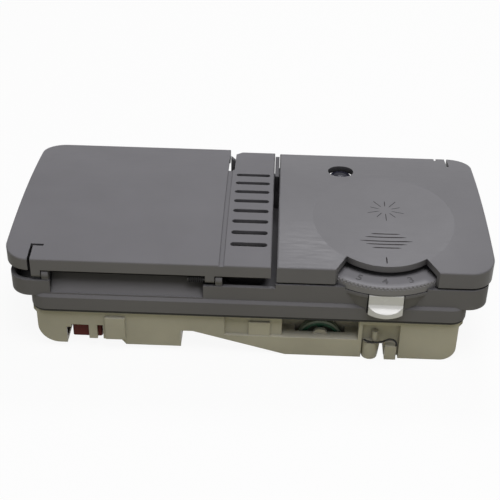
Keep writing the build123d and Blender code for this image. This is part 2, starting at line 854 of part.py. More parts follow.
recess_wall_y = box_front + recess_depth
cam_y = recess_wall_y - cam_t - cam_gap
bay_wall_x = bay_x[0] + bay_notch_w
valve_seat = recess_wall_y + housing_wall
retainer_y = valve_seat + valve_seal_t + valve_head_t + valve_spring_l
peg_wall_y = box_front + peg_recess_d
peg_x = column_x + peg_shift
with BuildPart() as rear_housing:
    add(front_to_back(housing_profile(0), box_front, box_back))
    add(housing_pocket.part, mode=Mode.SUBTRACT)
    block(recess_x, (box_front - overcut, recess_wall_y), (shelf_z, above), mode=Mode.SUBTRACT)
    block(bay_x, (box_front - overcut, box_front + bay_depth), (-overcut, bay_lift), mode=Mode.SUBTRACT)
    block(
        (bay_x[0], bay_x[0] + bay_notch_w),
        (box_front - overcut, box_front + bay_depth),
        (-overcut, bay_notch_top),
        mode=Mode.SUBTRACT,
    )
    for window_left, window_w in (
        (bay_wall_x, red_window_w),
        (bay_x[1] - black_window_edge - black_window_w, black_window_w),
    ):
        block(
            (window_left, window_left + window_w),
            (box_front - overcut, box_front + housing_wall + overcut),
            (bay_lift - overcut, bay_lift + actuator_h),
            mode=Mode.SUBTRACT,
        )
    with BuildSketch(Plane.XZ.offset(-box_front)):
        with BuildLine():
            Polyline(
                (bay_x[1] - overcut, -overcut),
                (bay_x[1] - overcut, bay_lift),
                (clip_end - clip_bevel, bay_lift),
                (clip_end, leg_lift),
                (clip_end, -overcut),
                close=True,
            )
        make_face()
    extrude(amount=-clip_cut_d, mode=Mode.SUBTRACT)
    block(
        (bay_x[1], clip_end),
        (box_front - clip_proud, box_front + housing_wall),
        (clip_low, clip_top),
    )
    block(
        (recess_step_left, recess_x[0]),
        (box_front - overcut, box_front + recess_step_d),
        (shelf_z, above),
        mode=Mode.SUBTRACT,
    )
    block(
        (boss_left, boss_left + boss_w),
        (box_front + boss_inset, box_front + recess_step_d),
        (shelf_z, shelf_z + boss_h),
    )
    with BuildSketch(Plane.XZ.offset(-cam_y + cam_gap)):
        with Locations((cam_x, shelf_z - bearing_drop)):
            Circle(bearing_r)
            with Locations((0, -bearing_r)):
                Rectangle(2 * bearing_r, 2 * bearing_r, mode=Mode.SUBTRACT)
    extrude(amount=bearing_t)
    block(
        (cam_x - cam_r - cam_gap, cam_x + cam_r + cam_gap),
        (cam_y - cam_gap, recess_wall_y),
        (housing_wall, shelf_z + overcut),
        mode=Mode.SUBTRACT,
    )
    block(
        (valve_x - retainer_w / 2, valve_x + retainer_w / 2),
        (retainer_y, retainer_y + housing_wall),
        (0, retainer_h),
    )
    with BuildSketch(Plane.XZ.offset(-recess_wall_y)):
        with Locations((valve_x, valve_z)):
            Circle(valve_r + pin_clear)
    extrude(amount=-housing_wall, mode=Mode.SUBTRACT)
    block(
        (peg_left, peg_right),
        (box_front - overcut, peg_wall_y),
        (-overcut, peg_recess_top),
        mode=Mode.SUBTRACT,
    )
    block(
        (peg_left - housing_wall, peg_right + housing_wall),
        (peg_wall_y, peg_wall_y + housing_wall),
        (0, housing_h),
    )
    for side_x in (peg_left - housing_wall, peg_right):
        block((side_x, side_x + housing_wall), (box_front, peg_wall_y), (0, housing_h))
    with BuildSketch(Plane.XY):
        with Locations((column_x, peg_wall_y)):
            Circle(column_r)
        with Locations((column_x, peg_wall_y + column_r)):
            Rectangle(2 * column_r, 2 * column_r, mode=Mode.SUBTRACT)
    extrude(amount=column_h)
    with BuildSketch(Plane.XY.offset(column_h - overcut)):
        with Locations((peg_x, peg_wall_y - peg_r)):
            Circle(peg_r)
    extrude(amount=peg_h + overcut)
    block(
        (peg_right - foot_from_right - foot_w, peg_right - foot_from_right),
        (peg_wall_y - foot_d, peg_wall_y),
        (0, foot_h),
    )
    with BuildSketch(Plane.XZ.offset(-box_front)):
        with BuildLine():
            Polyline(
                (notch_x - notch_w / 2, -overcut),
                (notch_x - notch_w / 4, notch_h),
                (notch_x + notch_w / 4, notch_h),
                (notch_x + notch_w / 2, -overcut),
                close=True,
            )
        make_face()
    extrude(amount=-notch_d, mode=Mode.SUBTRACT)
    for side, wall_x in ((1, box_right), (-1, box_left)):
        with BuildSketch(Plane.XZ.offset(-front - snap_from_front)):
            with BuildLine():
                Polyline(
                    (wall_x - side * overcut, housing_h),
                    (wall_x + side * snap_proud, housing_h),
                    (wall_x + side * snap_proud, housing_h - snap_lip),
                    (wall_x - side * overcut, housing_h - snap_h),
                    close=True,
                )
            make_face()
        extrude(amount=-snap_w)
    with BuildSketch(Plane.XY.offset(leg_lift)):
        with Locations(*tower_spots):
            Circle(tower_r)
    extrude(amount=housing_h - leg_lift)
    with BuildSketch(Plane.XY):
        with Locations((left + tower_from_end, back - tower_from_edge)):
            Circle(tower_r)
    extrude(amount=leg_lift)
    weld_x = (slope_end + weld_inset, box_right - box_r - weld_inset)
    weld_y = (peg_wall_y + weld_inset, box_back - 2 * weld_inset)
    add(upright(ring_plan(weld_x, weld_y, weld_r, weld_w), 0, weld_depth), mode=Mode.SUBTRACT)
    rib_y = (box_front + bay_depth + actuator_foot, box_back - rib_end)
    rib_mid = (bay_x[1] + wall_end) / 2
    with Locations((rib_mid, span(rib_y)[0], leg_lift - rib_h / 2)):
        with GridLocations(rib_pitch, rib_pitch, rib_count, 1):
            Box(rib_w, span(rib_y)[1], rib_h)
    with BuildSketch(Plane.XY):
        with Locations(*tower_spots):
            Circle(screw_head_r + screw_clear)
    extrude(amount=screw_seat, mode=Mode.SUBTRACT)
    with BuildSketch(Plane.XY):
        with Locations(*tower_spots):
            Circle(screw_r + screw_clear)
    extrude(amount=housing_h, mode=Mode.SUBTRACT)
rear_housing.part.label = "rear_housing"

# Release tab: upright plate that sweeps out to a round-ended lip
tab_face_y = bulge_front + tab_face
lip_tip = front - lip_reach
with BuildPart() as release_tab:
    with BuildSketch(Plane.YZ.offset(tab_x[0])):
        with BuildLine():
            Polyline(
                (tab_face_y, lip_z + lip_t),
                (tab_face_y, tab_top),
                (tab_face_y + tab_t, tab_top),
                (tab_face_y + tab_t, lip_z - lip_t),
            )
            RadiusArc((tab_face_y + tab_t, lip_z - lip_t), (lip_tip, lip_z - lip_edge), -2 * lip_reach)
            Line((lip_tip, lip_z - lip_edge), (lip_tip, lip_z))
            RadiusArc((lip_tip, lip_z), (tab_face_y, lip_z + lip_t), -lip_reach)
        make_face()
    extrude(amount=tab_w)
    with BuildSketch(Plane.XY.offset(lip_z - lip_t)):
        with BuildLine():
            shoulder_y = tab_face_y - lip_shoulder
            ThreePointArc((tab_x[0], shoulder_y), (dial_x, lip_tip), (tab_x[1], shoulder_y))
            Polyline(
                (tab_x[1], shoulder_y),
                (tab_x[1], tab_face_y + tab_t),
                (tab_x[0], tab_face_y + tab_t),
                (tab_x[0], shoulder_y),
            )
        make_face()
    extrude(amount=tab_top - lip_z + lip_t, mode=Mode.INTERSECT)
release_tab.part.label = "release_tab"

# Return spring of the tab, between its plate and the back of its pocket
tab_spring_start = tab_face_y + tab_t + spring_wire_r + spring_clear
tab_spring_l = bulge_front + tab_pocket - tab_spring_start - spring_wire_r - spring_clear
tab_spring_z = (tab_top + lip_z) / 2
tab_spring = coil(
    (dial_x, tab_spring_start, tab_spring_z),
    (0, 1, 0),
    tab_spring_r,
    spring_wire_r,
    tab_spring_turns,
    tab_spring_l,
)
tab_spring.label = "tab_spring"

# Sight glass that looks down into the rinse-aid tank
with BuildPart() as sight_lens:
    with BuildSketch(Plane.XZ):
        with BuildLine():
            lens_side = lens_r - pin_clear
            Polyline(
                (0, lens_top),
                (0, flange_z - floor_t),
                (lens_side, flange_z - floor_t),
                (lens_side, lens_top - lens_dome),
            )
            dome_r = (lens_side ** 2 + lens_dome ** 2) / (2 * lens_dome)
            RadiusArc((lens_side, lens_top - lens_dome), (0, lens_top), -dome_r)
        make_face()
    revolve(axis=Axis.Z)
sight_lens.part = sight_lens.part.moved(Location((*window, 0)))
sight_lens.part.label = "sight_lens"

# Torsion spring of the lid, wound round the spindle of its right lug
lid_spring_x = lid_lug_right - spindle_l + spring_wire_r + spring_clear
lid_spring = coil(
    (lid_spring_x, *lid_axis),
    (1, 0, 0),
    lid_spring_r,
    spring_wire_r,
    lid_spring_turns,
    spindle_l - 2 * spring_wire_r - 2 * spring_clear,
)
lid_spring.label = "lid_spring"

# Lid latch: hooked slide with a stem that reaches down to the lever
latch_top = edge_z - latch_drop
with BuildPart() as lid_latch:
    with BuildSketch(Plane.XZ.offset(-latch_mid - latch_d / 2)):
        with BuildLine():
            stem_left = latch_x - latch_w / 2
            stem_right = latch_x + latch_w / 2
            Polyline(
                (stem_left, lever_z - latch_foot),
                (stem_right, lever_z - latch_foot),
                (stem_right, latch_top - latch_w - latch_nose),
                (stem_right + latch_nose, latch_top - latch_w),
                (stem_right + latch_nose, latch_top - latch_slope),
                (stem_right, latch_top),
                (stem_left, latch_top),
                close=True,
            )
        make_face()
    extrude(amount=latch_d)
lid_latch.part.label = "lid_latch"

# Return spring of the latch, against its post on the body
latch_spring = coil(
    (post_right + spring_wire_r + spring_clear, latch_mid, floor_top + latch_post_h / 2),
    (1, 0, 0),
    latch_spring_r,
    spring_wire_r,
    latch_spring_turns,
    latch_x - latch_w / 2 - post_right - 2 * spring_wire_r - 2 * spring_clear,
)
latch_spring.label = "latch_spring"

# Actuator with its mounting foot, seen through the housing's front window
actuator_front = box_front + housing_wall + move_clear
actuator_x = (bay_wall_x, bay_wall_x + actuator_w)
actuator_back = actuator_front + actuator_d
with BuildPart() as actuator_body:
    actuator_plan = plan(actuator_x, (actuator_front, actuator_back), actuator_round)
    add(upright(actuator_plan, bay_lift, bay_lift + actuator_h))
    block(
        actuator_x,
        (actuator_back - overcut, box_front + bay_depth + actuator_foot),
        (leg_lift + housing_wall, leg_lift + housing_wall + actuator_foot_t),
    )
    block(
        actuator_x,
        (actuator_back - overcut, actuator_back + housing_wall),
        (leg_lift + housing_wall, bay_lift + actuator_foot_t),
    )
    plunger_y = actuator_front + plunger_inset
    with BuildSketch(Plane.YZ.offset(actuator_x[1])):
        with Locations((plunger_y, plunger_z)):
            Circle(plunger_r + pin_clear)
    extrude(amount=-plunger_reach / 2 - side_clear, mode=Mode.SUBTRACT)
actuator_body.part.label = "actuator_body"

# Plunger of the actuator
with BuildPart() as actuator_plunger:
    with BuildSketch(Plane.YZ.offset(actuator_x[1] - plunger_reach / 2)):
        with Locations((plunger_y, plunger_z)):
            Circle(plunger_r)
    extrude(amount=plunger_reach * 3 / 2)
    fillet(actuator_plunger.edges().sort_by(Axis.X)[-1], plunger_r / 2)
actuator_plunger.part.label = "actuator_plunger"

# Two blade terminals at the back of the actuator
with BuildPart() as terminals:
    terminal_mid = (actuator_x[0] + actuator_x[1]) / 2
    terminal_z = bay_lift + actuator_h / 2 + actuator_foot_t
    with Locations((terminal_mid, actuator_back + terminal_reach / 2, terminal_z)):
        with GridLocations(terminal_pitch, terminal_pitch, 2, 1):
            Box(terminal_w, terminal_reach, terminal_t)
terminals.part.label = "terminals"

# Transfer lever between the plunger and the latch
lever_end = (latch_x + latch_w / 2 + lever_finger, latch_mid - lever_tip_drop)
lever_start = (actuator_x[1] + plunger_reach + move_clear + lever_arm_w / 2, plunger_y)
lever_mid = (lever_x, mid_y)
with BuildPart() as transfer_lever:
    with BuildSketch(Plane.XY.offset(lever_z)):
        for lever_tip in (lever_start, lever_end):
            arm = Vector(*lever_tip) - Vector(*lever_mid)
            with Locations(Vector(*lever_mid) + arm / 2):
                SlotCenterToCenter(arm.length, lever_arm_w, rotation=degrees(atan2(arm.Y, arm.X)))
        with Locations(lever_mid):
            Circle(lever_hub_r)
            Circle(lever_pin_r + pin_clear, mode=Mode.SUBTRACT)
    extrude(amount=lever_t)
    with BuildSketch(Plane.XY.offset(plunger_z - plunger_r)):
        with Locations(lever_start):
            Circle(lever_arm_w / 2)
    extrude(amount=lever_z + lever_t - plunger_z + plunger_r)
transfer_lever.part.label = "transfer_lever"

# Pivot pin of the lever, on the housing's raised floor
with BuildPart() as lever_pin:
    with BuildSketch(Plane.XY.offset(step_lift + housing_wall)):
        with Locations(lever_mid):
            Circle(lever_pin_r)
    extrude(amount=lever_z + lever_t + side_clear - step_lift - housing_wall)
lever_pin.part.label = "lever_pin"

# Dosing cam: a sector that swings in the recess of the housing
with BuildPart() as cam_sector:
    with BuildSketch(Plane.XZ.offset(-cam_y - cam_t)):
        with Locations((cam_x, cam_z)):
            Circle(cam_r)
            Circle(cam_r - cam_band, mode=Mode.SUBTRACT)
        with BuildLine():
            cam_half = radians(cam_arc / 2)
            cam_side = 2 * cam_r * sin(cam_half)
            cam_rise = 2 * cam_r * cos(cam_half)
            Polyline(
                (cam_x, cam_z),
                (cam_x - cam_side, cam_z + cam_rise),
                (cam_x - cam_side, cam_z + 2 * cam_r),
                (cam_x + cam_side, cam_z + 2 * cam_r),
                (cam_x + cam_side, cam_z + cam_rise),
                close=True,
            )
        make_face(mode=Mode.INTERSECT)
        with Locations((cam_x, cam_z + cam_r / 2)):
            Rectangle(cam_hub_r, cam_r)
        with Locations((cam_x, cam_z)):
            Circle(cam_hub_r)
            Circle(cam_pin_r + pin_clear, mode=Mode.SUBTRACT)
    extrude(amount=cam_t)
cam_sector.part.label = "cam_sector"

# Pivot pin of the cam, in the recess wall
with BuildPart() as cam_pin:
    with BuildSketch(Plane.XZ.offset(-recess_wall_y)):
        with Locations((cam_x, cam_z)):
            Circle(cam_pin_r)
    extrude(amount=cam_t + 2 * cam_gap)
cam_pin.part.label = "cam_pin"

# Dosing valve: stem through the recess wall, with its head inside the tank
with BuildPart() as valve_stem:
    with BuildSketch(Plane.XZ.offset(-valve_seat - valve_seal_t - valve_head_t)):
        with Locations((valve_x, valve_z)):
            Circle(valve_r)
    extrude(amount=housing_wall + valve_seal_t + valve_head_t + cam_gap - move_clear)
    with BuildSketch(Plane.XZ.offset(-valve_seat - valve_seal_t - valve_head_t)):
        with Locations((valve_x, valve_z)):
            Circle(valve_head_r)
    extrude(amount=valve_head_t)
valve_stem.part.label = "valve_stem"

# Rubber washer under the valve head
with BuildPart() as valve_seal:
    with BuildSketch(Plane.XZ.offset(-valve_seat - valve_seal_t)):
        with Locations((valve_x, valve_z)):
            Circle(valve_head_r)
            Circle(valve_r + pin_clear, mode=Mode.SUBTRACT)
    extrude(amount=valve_seal_t - move_clear)
valve_seal.part.label = "valve_seal"

# Closing spring of the valve, against its retainer
valve_spring = coil(
    (valve_x, retainer_y - valve_spring_l + spring_wire_r + spring_clear, valve_z),
    (0, 1, 0),
    valve_spring_r,
    spring_wire_r,
    valve_spring_turns,
    valve_spring_l - 2 * spring_wire_r - 2 * spring_clear,
)
valve_spring.label = "valve_spring"

# Wire spring that bends round the front of its peg, over the column and the foot
wire_y = peg_wall_y - 2 * peg_r - wire_r - spring_clear
with BuildPart() as wire_spring:
    with BuildLine(Plane.XZ.offset(-wire_y)) as wire_path:
        wire_top = column_h + wire_r + spring_clear + wire_sag
        sag = ThreePointArc(
            (peg_x - wire_half, wire_top),
            (peg_x, wire_top - wire_sag),
            (peg_x + wire_half, wire_top),
        )
        TangentArc(sag @ 1, (peg_x + wire_half + wire_tail, foot_h + wire_r + spring_clear), tangent=sag % 1)
    with BuildSketch(Plane(wire_path.line @ 0, z_dir=wire_path.line % 0)):
        Circle(wire_r)
    sweep()
wire_spring.part.label = "wire_spring"

# Four screws that hold the housing to the front body
with BuildPart() as screws:
    with BuildSketch(Plane.XY.offset(screw_seat - screw_head_h)):
        with Locations(*tower_spots):
            Circle(screw_head_r)
    extrude(amount=screw_head_h)
    with BuildSketch(Plane.XY.offset(screw_seat)):
        with Locations(*tower_spots):
            Circle(screw_r)
    extrude(amount=band_z + screw_grip - screw_seat)
screws.part.label = "screws"

os.makedirs("parts", exist_ok=True)
moulded = (
    detergent_lid,
    lid_seal,
    rinse_cover,
    filler_seal,
    dose_dial,
    front_body,
    cup_floor,
    door_gasket,
    rear_housing,
    release_tab,
    sight_lens,
    lid_latch,
    actuator_body,
    actuator_plunger,
    terminals,
    transfer_lever,
    lever_pin,
    cam_sector,
    cam_pin,
    valve_stem,
    valve_seal,
    wire_spring,
    screws,
)
for piece in [builder.part for builder in moulded] + [tab_spring, lid_spring, latch_spring, valve_spring]:
    export_step(piece, f"parts/{piece.label}.step")
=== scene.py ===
import math

import bmesh
import bpy
from mathutils import Matrix, Vector
from mathutils.bvhtree import BVHTree


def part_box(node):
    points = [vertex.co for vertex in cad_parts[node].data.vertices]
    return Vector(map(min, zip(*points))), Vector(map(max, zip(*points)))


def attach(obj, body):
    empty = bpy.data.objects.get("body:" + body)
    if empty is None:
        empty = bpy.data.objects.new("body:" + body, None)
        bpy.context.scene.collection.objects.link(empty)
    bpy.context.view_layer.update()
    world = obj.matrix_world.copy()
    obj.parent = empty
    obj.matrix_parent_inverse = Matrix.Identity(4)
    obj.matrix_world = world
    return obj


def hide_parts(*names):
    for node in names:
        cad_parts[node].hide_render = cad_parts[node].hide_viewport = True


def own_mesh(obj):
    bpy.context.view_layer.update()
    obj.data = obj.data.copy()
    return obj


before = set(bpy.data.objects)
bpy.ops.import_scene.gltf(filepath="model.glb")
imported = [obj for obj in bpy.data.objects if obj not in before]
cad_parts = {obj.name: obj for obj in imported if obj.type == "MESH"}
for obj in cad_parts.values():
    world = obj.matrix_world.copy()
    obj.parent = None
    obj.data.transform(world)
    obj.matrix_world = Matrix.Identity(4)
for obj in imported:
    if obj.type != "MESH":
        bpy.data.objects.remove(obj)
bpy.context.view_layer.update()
scene = bpy.context.scene
MM = 0.001


# Materials: every surface reads its own coordinates in metres, so grain keeps its real size

NOISE_MIDDLE = (0.3, 0.7)          # where nearly all values of a noise lie
EDGE_MASK_COSINES = (0.90, 0.995)     # between a bevelled and a true normal, from fully to not at all rubbed and lit
OPENNESS = (0.25, 0.85)            # ambient occlusion, from a deep gap to open surface
WORN_LIT_EDGE_SHARE = 0.55
# reach and tone of the shade painted into gaps and inner corners
GAP_SHADE_REACH = 9.0 * MM
GAP_SHADE_TONE = 0.08
FINE_GRAIN = 0.02 * MM


class Shader:
    """A material under construction, with short calls for the nodes that the surfaces share."""

    def __init__(self, name):
        self.material = bpy.data.materials.new(name)
        self.material.use_nodes = True
        self.tree = self.material.node_tree
        self.bsdf = self.tree.nodes["Principled BSDF"]
        self.place = self.node("ShaderNodeTexCoord").outputs["Object"]

    def node(self, kind, **inputs):
        made = self.tree.nodes.new(kind)
        for key, value in inputs.items():
            made.inputs[key.replace("_", " ")].default_value = value
        return made

    def link(self, source, target):
        self.tree.links.new(source, target)

    def noise(self, scale, detail=3.0, stretch=None):
        made = self.node("ShaderNodeTexNoise", Scale=scale, Detail=detail)
        place = self.place
        if stretch:
            turn = self.node("ShaderNodeMapping", Scale=stretch)
            self.link(place, turn.inputs["Vector"])
            place = turn.outputs["Vector"]
        self.link(place, made.inputs["Vector"])
        return made.outputs["Fac"]

    def fit(self, value, low, high, to_low, to_high):
        made = self.node("ShaderNodeMapRange", From_Min=low, From_Max=high, To_Min=to_low, To_Max=to_high)
        self.link(value, made.inputs["Value"])
        return made.outputs["Result"]

    def spread(self, noise, to_low=0.0, to_high=1.0):
        """The middle of a noise, stretched over a range."""
        return self.fit(noise, *NOISE_MIDDLE, to_low, to_high)

    def share(self, mask, most):
        """A mask that goes no further than a share of its full effect."""
        return self.fit(mask, 0.0, 1.0, 0.0, most)

    def mix(self, factor, first, second):
        made = self.node("ShaderNodeMix")
        made.data_type = "RGBA"
        self.link(factor, made.inputs[0])
        for socket, colour in ((made.inputs[6], first), (made.inputs[7], second)):
            if isinstance(colour, tuple):
                socket.default_value = (*colour, 1)
            else:
                self.link(colour, socket)
        return made.outputs[2]

    def colour(self, output):
        self.link(output, self.bsdf.inputs["Base Color"])

    def roughness(self, output):
        self.link(output, self.bsdf.inputs["Roughness"])

    def set(self, **values):
        for key, value in values.items():
            self.bsdf.inputs[key.replace("_", " ")].default_value = value

    def soft_edge(self, radius):
        """Normal that rounds sharp edges, and a mask of where it does."""
        bevel = self.node("ShaderNodeBevel", Radius=radius)
        bevel.samples = 6
        geometry = self.node("ShaderNodeNewGeometry")
        facing = self.node("ShaderNodeVectorMath")
        facing.operation = "DOT_PRODUCT"
        self.link(bevel.outputs["Normal"], facing.inputs[0])
        self.link(geometry.outputs["Normal"], facing.inputs[1])
        return bevel.outputs["Normal"], self.fit(facing.outputs["Value"], *EDGE_MASK_COSINES, 1.0, 0.0)

    def crevice(self, reach):
        """Mask of narrow gaps and inner corners, from ambient occlusion, where shade is painted into the
        colour.
        """
        near = self.node("ShaderNodeAmbientOcclusion", Distance=reach)
        near.samples = 4
        return self.fit(near.outputs["AO"], *OPENNESS, 1.0, 0.0)

    def bump(self, height, strength, distance, normal=None):
        made = self.node("ShaderNodeBump", Strength=strength, Distance=distance)
        self.link(height, made.inputs["Height"])
        if normal is not None:
            self.link(normal, made.inputs["Normal"])
        self.link(made.outputs["Normal"], self.bsdf.inputs["Normal"])


def shade(colour, factor):
    return tuple(channel * factor for channel in colour)


def moulded(name, colour, rough, grain=2200.0, grain_depth=FINE_GRAIN, edge=0.5 * MM, worn_lit_edge_tone=1.16,
            gap_shade=0.0, cloud=0.045, **extra):
    """Injection-moulded plastic: fine grain, slow colour drift, scuffs, edges lightened for wear and a
    painted highlight, and painted shade in gaps.
    """
    s = Shader(name)
    drift = s.noise(26.0, 4.0)
    tone = s.mix(s.spread(drift), shade(colour, 1 - cloud), shade(colour, 1 + cloud))
    normal, worn_lit_edge = s.soft_edge(edge)
    # edges lightened in the colour: partly wear, partly a painted highlight on the rounded edges
    tone = s.mix(s.share(worn_lit_edge, WORN_LIT_EDGE_SHARE), tone, shade(colour, worn_lit_edge_tone))
    # painted shade: ambient occlusion darkens gaps and inner corners in the colour
    if gap_shade > 0:
        tone = s.mix(s.share(s.crevice(GAP_SHADE_REACH), gap_shade), tone, shade(colour, GAP_SHADE_TONE))
    s.colour(tone)
    scuff = s.noise(90.0, 5.0, (1.0, 9.0, 1.0))
    s.roughness(s.fit(scuff, 0.35, 0.75, rough - 0.05, rough + 0.07))
    s.bump(s.noise(grain, 2.0), 0.35, grain_depth, normal)
    s.set(**extra)
    return s.material


def rubber(name, colour):
    """Matt seal rubber with a dusty bloom."""
    s = Shader(name)
    bloom = s.noise(240.0, 6.0)
    s.colour(s.mix(s.fit(bloom, 0.45, 0.75, 0.0, 1.0), colour, shade(colour, 2.4)))
    s.roughness(s.spread(bloom, 0.62, 0.8))
    s.bump(s.noise(1500.0, 3.0), 0.4, 0.03 * MM)
    s.set(Specular_IOR_Level=0.3)
    return s.material


def metal(name, colour, rough, stretch):
    """Drawn or turned metal with fine streaks along its length."""
    s = Shader(name)
    streak = s.noise(700.0, 4.0, stretch)
    s.colour(s.mix(s.spread(streak), shade(colour, 0.8), shade(colour, 1.1)))
    s.roughness(s.spread(streak, rough - 0.06, rough + 0.1))
    s.bump(streak, 0.25, FINE_GRAIN)
    s.set(Metallic=1.0)
    return s.material


def smoked_lens(name, colour):
    """Clear plastic lens over a dark tank: deep colour with a faint cloud, satin from use."""
    s = Shader(name)
    haze = s.noise(420.0, 4.0)
    s.colour(s.mix(s.fit(haze, 0.4, 0.7, 0.0, 1.0), colour, shade(colour, 1.6)))
    s.roughness(s.spread(haze, 0.22, 0.32))
    s.bump(s.noise(60.0, 2.0), 0.15, 0.2 * MM)
    s.set(Specular_IOR_Level=0.1)
    return s.material


def banded(name, centre, core, rings):
    """Sector with rings of colour round the core at its pivot, each (inner radius, colour)."""
    s = Shader(name)

    def uneven(colour):
        return s.mix(patches, shade(colour, 0.88), shade(colour, 1.1))

    axis = s.node("ShaderNodeVectorMath")
    axis.operation = "MULTIPLY"
    s.link(s.place, axis.inputs[0])
    axis.inputs[1].default_value = (1, 0, 1)
    away = s.node("ShaderNodeVectorMath")
    away.operation = "DISTANCE"
    s.link(axis.outputs["Vector"], away.inputs[0])
    away.inputs[1].default_value = (centre[0], 0, centre[1])
    drift = s.noise(60.0, 4.0)
    patches = s.spread(drift)
    blur = 0.2 * MM
    tone = uneven(core)
    for edge, colour in rings:
        past = s.fit(away.outputs["Value"], edge - blur, edge + blur, 0.0, 1.0)
        tone = s.mix(past, tone, uneven(colour))
    s.colour(tone)
    s.roughness(s.spread(drift, 0.35, 0.5))
    s.bump(s.noise(1800.0, 2.0), 0.3, FINE_GRAIN)
    return s.material


GREY = (0.186, 0.183, 0.194)
OFF_WHITE = (0.54, 0.52, 0.435)
MATT = 0.03            # specular levels
SATIN = 0.12
SMALL_EDGE = 0.3 * MM
MARK_EDGE = 0.05 * MM
CAM_PIVOT = (0.0382, 0.0054)       # x and z
surfaces = {
    # gap_shade sets how much painted shade falls in each part's gaps and inner corners
    "lid": moulded("lid_plastic", shade(GREY, 1.09), 0.46, gap_shade=0.92, Specular_IOR_Level=MATT),
    "cover": moulded("cover_plastic", shade(GREY, 0.97), 0.37, gap_shade=0.92, Specular_IOR_Level=SATIN),
    # dial grey raised to 1.45 times to offset the shade it sits in under the cover's edge: painted light
    "dial": moulded("dial_plastic", shade(GREY, 1.45), 0.40, edge=SMALL_EDGE, Specular_IOR_Level=SATIN),
    "body": moulded("body_plastic", GREY, 0.48, gap_shade=0.9, Specular_IOR_Level=MATT),
    "housing": moulded(
        "housing_plastic", OFF_WHITE, 0.40, grain=900.0, edge=0.6 * MM, worn_lit_edge_tone=1.1, gap_shade=0.18, cloud=0.11,
        Subsurface_Weight=0.12, Subsurface_Radius=(0.004, 0.003, 0.0018), Specular_IOR_Level=SATIN,
    ),
    "linkage": moulded("linkage_plastic", (0.66, 0.65, 0.60), 0.38, edge=SMALL_EDGE),
    "tab": moulded(
        "tab_plastic", (0.66, 0.66, 0.645), 0.24, grain=600.0, grain_depth=0.008 * MM, worn_lit_edge_tone=1.05,
        Coat_Weight=1.0, Coat_Roughness=0.25,
    ),
    "red": moulded(
        "actuator_plastic", (0.115, 0.022, 0.018), 0.42, edge=SMALL_EDGE, Specular_IOR_Level=SATIN,
    ),
    "black": moulded("plunger_plastic", (0.03, 0.03, 0.032), 0.4, edge=SMALL_EDGE),
    "seal": rubber("seal_rubber", (0.016, 0.016, 0.015)),
    "lens": smoked_lens("lens_plastic", (0.014, 0.014, 0.024)),
    "wire": metal("spring_wire", (0.30, 0.29, 0.28), 0.36, (1.0, 1.0, 6.0)),
    # near-black wire colour is painted shade, so the lid spring reads as the dark gap under the lid
    "dark_wire": metal("dark_wire", (0.030, 0.029, 0.028), 0.50, (6.0, 1.0, 1.0)),
    "steel": metal("bright_steel", (0.52, 0.52, 0.52), 0.3, (6.0, 6.0, 1.0)),
    "brass": metal("terminal_brass", (0.60, 0.47, 0.20), 0.3, (1.0, 8.0, 1.0)),
    "cam": banded("cam_plastic", CAM_PIVOT, (0.56, 0.54, 0.45), (
        (3.0 * MM, (0.016, 0.075, 0.040)),
        (10.9 * MM, (0.17, 0.21, 0.165)),
    )),
    # dark colour of the sunk pour lines, burst and index mark is painted shade of their grooves
    "groove_shade": moulded("mark_recess", (0.040, 0.036, 0.038), 0.6, edge=MARK_EDGE, Specular_IOR_Level=MATT),
    "digit": moulded("digit_relief", (0.15, 0.147, 0.155), 0.5, edge=MARK_EDGE),
}
finish = {
    "detergent_lid": "lid",
    "rinse_cover": "cover",
    "dose_dial": "dial",
    "front_body": "body",
    "cup_floor": "body",
    "rear_housing": "housing",
    "release_tab": "tab",
    "sight_lens": "lens",
    "lid_latch": "linkage",
    "transfer_lever": "linkage",
    "valve_stem": "linkage",
    "actuator_body": "red",
    "actuator_plunger": "black",
    "cam_sector": "cam",
    "terminals": "brass",
    "lid_seal": "seal",
    "filler_seal": "seal",
    "door_gasket": "seal",
    "valve_seal": "seal",
    "lever_pin": "steel",
    "cam_pin": "steel",
    "screws": "steel",
    "wire_spring": "dark_wire",
    "tab_spring": "wire",
    "lid_spring": "dark_wire",
    "latch_spring": "wire",
    "valve_spring": "wire",
}
for node, surface in finish.items():
    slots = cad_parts[node].data.materials
    slots.clear()
    slots.append(surfaces[surface])


# Marks that lie on the moulded surface of the cover and the dial

LINE = 0.45 * MM
LEVELS_X = 70.7 * MM
LEVELS = ((-24.3, 7.6), (-27.3, 10.7), (-30.9, 13.7), (-33.6, 10.6), (-36.7, 7.5))  # y, half length, mm
INDEX_X = 70.0 * MM
INDEX_FROM, INDEX_TO = -44.6 * MM, -50.4 * MM
BURST = Vector((72.0, -1.7)) * MM
RAYS = 10
RAY_FROM = 3.4 * MM
RAY_TO = (8.6 * MM, 10.4 * MM)     # short and long, in turn
ABOVE_ALL = 0.2
DIGITS = range(1, 7)
TOP_DIGIT = 4                      # stands at the index when the dial is at rest
DIGIT_PITCH, DIGIT_SKEW = 21.2, -1.4
DIGIT_RADIUS = 36.0 * MM
DIGIT_SIZE = 6.6 * MM


def piece(name, bm, surface, body):
    mesh = bpy.data.meshes.new(name)
    bm.to_mesh(mesh)
    bm.free()
    made = bpy.data.objects.new(name, mesh)
    scene.collection.objects.link(made)
    mesh.materials.append(surfaces[surface])
    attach(made, body)


def skin_of(node):
    return BVHTree.FromObject(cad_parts[node], bpy.context.evaluated_depsgraph_get())


def height_on(skin, x, y):
    hit = skin.ray_cast(Vector((x, y, ABOVE_ALL)), Vector((0, 0, -1)))[0]
    return hit.z


